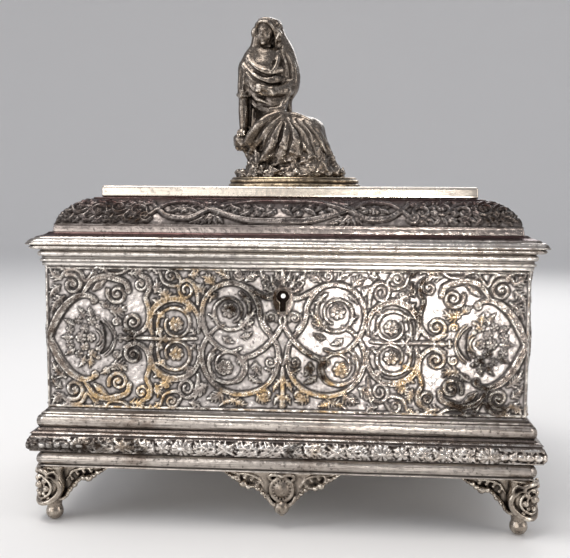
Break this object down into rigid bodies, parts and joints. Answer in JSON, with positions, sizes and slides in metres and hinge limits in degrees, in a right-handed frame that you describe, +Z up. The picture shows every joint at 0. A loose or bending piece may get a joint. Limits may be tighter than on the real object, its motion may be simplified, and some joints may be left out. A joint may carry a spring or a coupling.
{
  "type": "jewellery casket",
  "caption": "Rectangular silver-plated jewellery casket with relief panels, bracket feet, hinged cushion lid and a seated draped figure as finial.",
  "frame": {"origin": "middle of the box at the level that the feet stand on", "axes": "+Z up, front of the casket towards -Y, +X to the right of someone facing the front"},
  "size_m": [0.2904, 0.2016, 0.3],
  "materials": {
    "silver_plate": "tarnished silver plate over brass, polished on the raised parts, dark patina in the recesses",
    "dark_silver_plate": "oxidised silver plate, pewter grey with brown-black recesses",
    "brass_fittings": "aged yellow brass",
    "steel_fittings": "plain drawn steel",
    "velvet": "deep burgundy velvet over padding",
    "lid_board": "thin stained board"
  },
  "bodies": {
    "casket": {"front_panel": "silver_plate", "back_panel": "silver_plate", "left_panel": "silver_plate", "right_panel": "silver_plate", "bottom_plate": "silver_plate", "foot_rail_front": "silver_plate", "foot_rail_back": "silver_plate", "foot_rail_left": "silver_plate", "foot_rail_right": "silver_plate", "garland_front": "silver_plate", "garland_back": "silver_plate", "garland_left": "silver_plate", "garland_right": "silver_plate", "step_moulding_front": "silver_plate", "step_moulding_back": "silver_plate", "step_moulding_left": "silver_plate", "step_moulding_right": "silver_plate", "rim_moulding_front": "silver_plate", "rim_moulding_back": "silver_plate", "rim_moulding_left": "silver_plate", "rim_moulding_right": "silver_plate", "foot_front_left": "silver_plate", "foot_front_right": "silver_plate", "foot_rear_left": "silver_plate", "foot_rear_right": "silver_plate", "foot_screws": "brass_fittings", "apron_front": "silver_plate", "apron_back": "silver_plate", "escutcheon": "silver_plate", "lock_case": "brass_fittings", "lock_cover": "brass_fittings", "lock_spring": "steel_fittings", "lock_screws": "brass_fittings", "key_post": "steel_fittings", "floor_lining": "velvet", "front_lining": "velvet", "back_lining": "velvet", "left_lining": "velvet", "right_lining": "velvet", "body_hinge_leaves": "brass_fittings", "body_hinge_screws": "brass_fittings", "hinge_pins": "steel_fittings"},
    "lock_bolt": {"lock_bolt": "brass_fittings"},
    "lid": {"cornice_front": "silver_plate", "cornice_back": "silver_plate", "cornice_left": "silver_plate", "cornice_right": "silver_plate", "lid_dome": "silver_plate", "lid_plateau": "silver_plate", "lid_board": "lid_board", "lid_lining": "velvet", "lid_hinge_leaves": "brass_fittings", "lid_hinge_screws": "brass_fittings", "lock_strike": "brass_fittings", "strike_screws": "brass_fittings", "figure_plinth": "dark_silver_plate", "figure": "dark_silver_plate", "figure_stud": "steel_fittings", "figure_nut": "brass_fittings"}
  },
  "joints": [
    {"name": "lid_hinge", "type": "hinge", "parent": "casket", "child": "lid", "pos_m": [0, 0.0961, 0.1537], "axis": [-1, 0, 0], "range_deg": [0, 100]},
    {"name": "bolt_throw", "type": "slide", "parent": "casket", "child": "lock_bolt", "axis": [1, 0, 0], "range_m": [0, 0.004]}
  ]
}
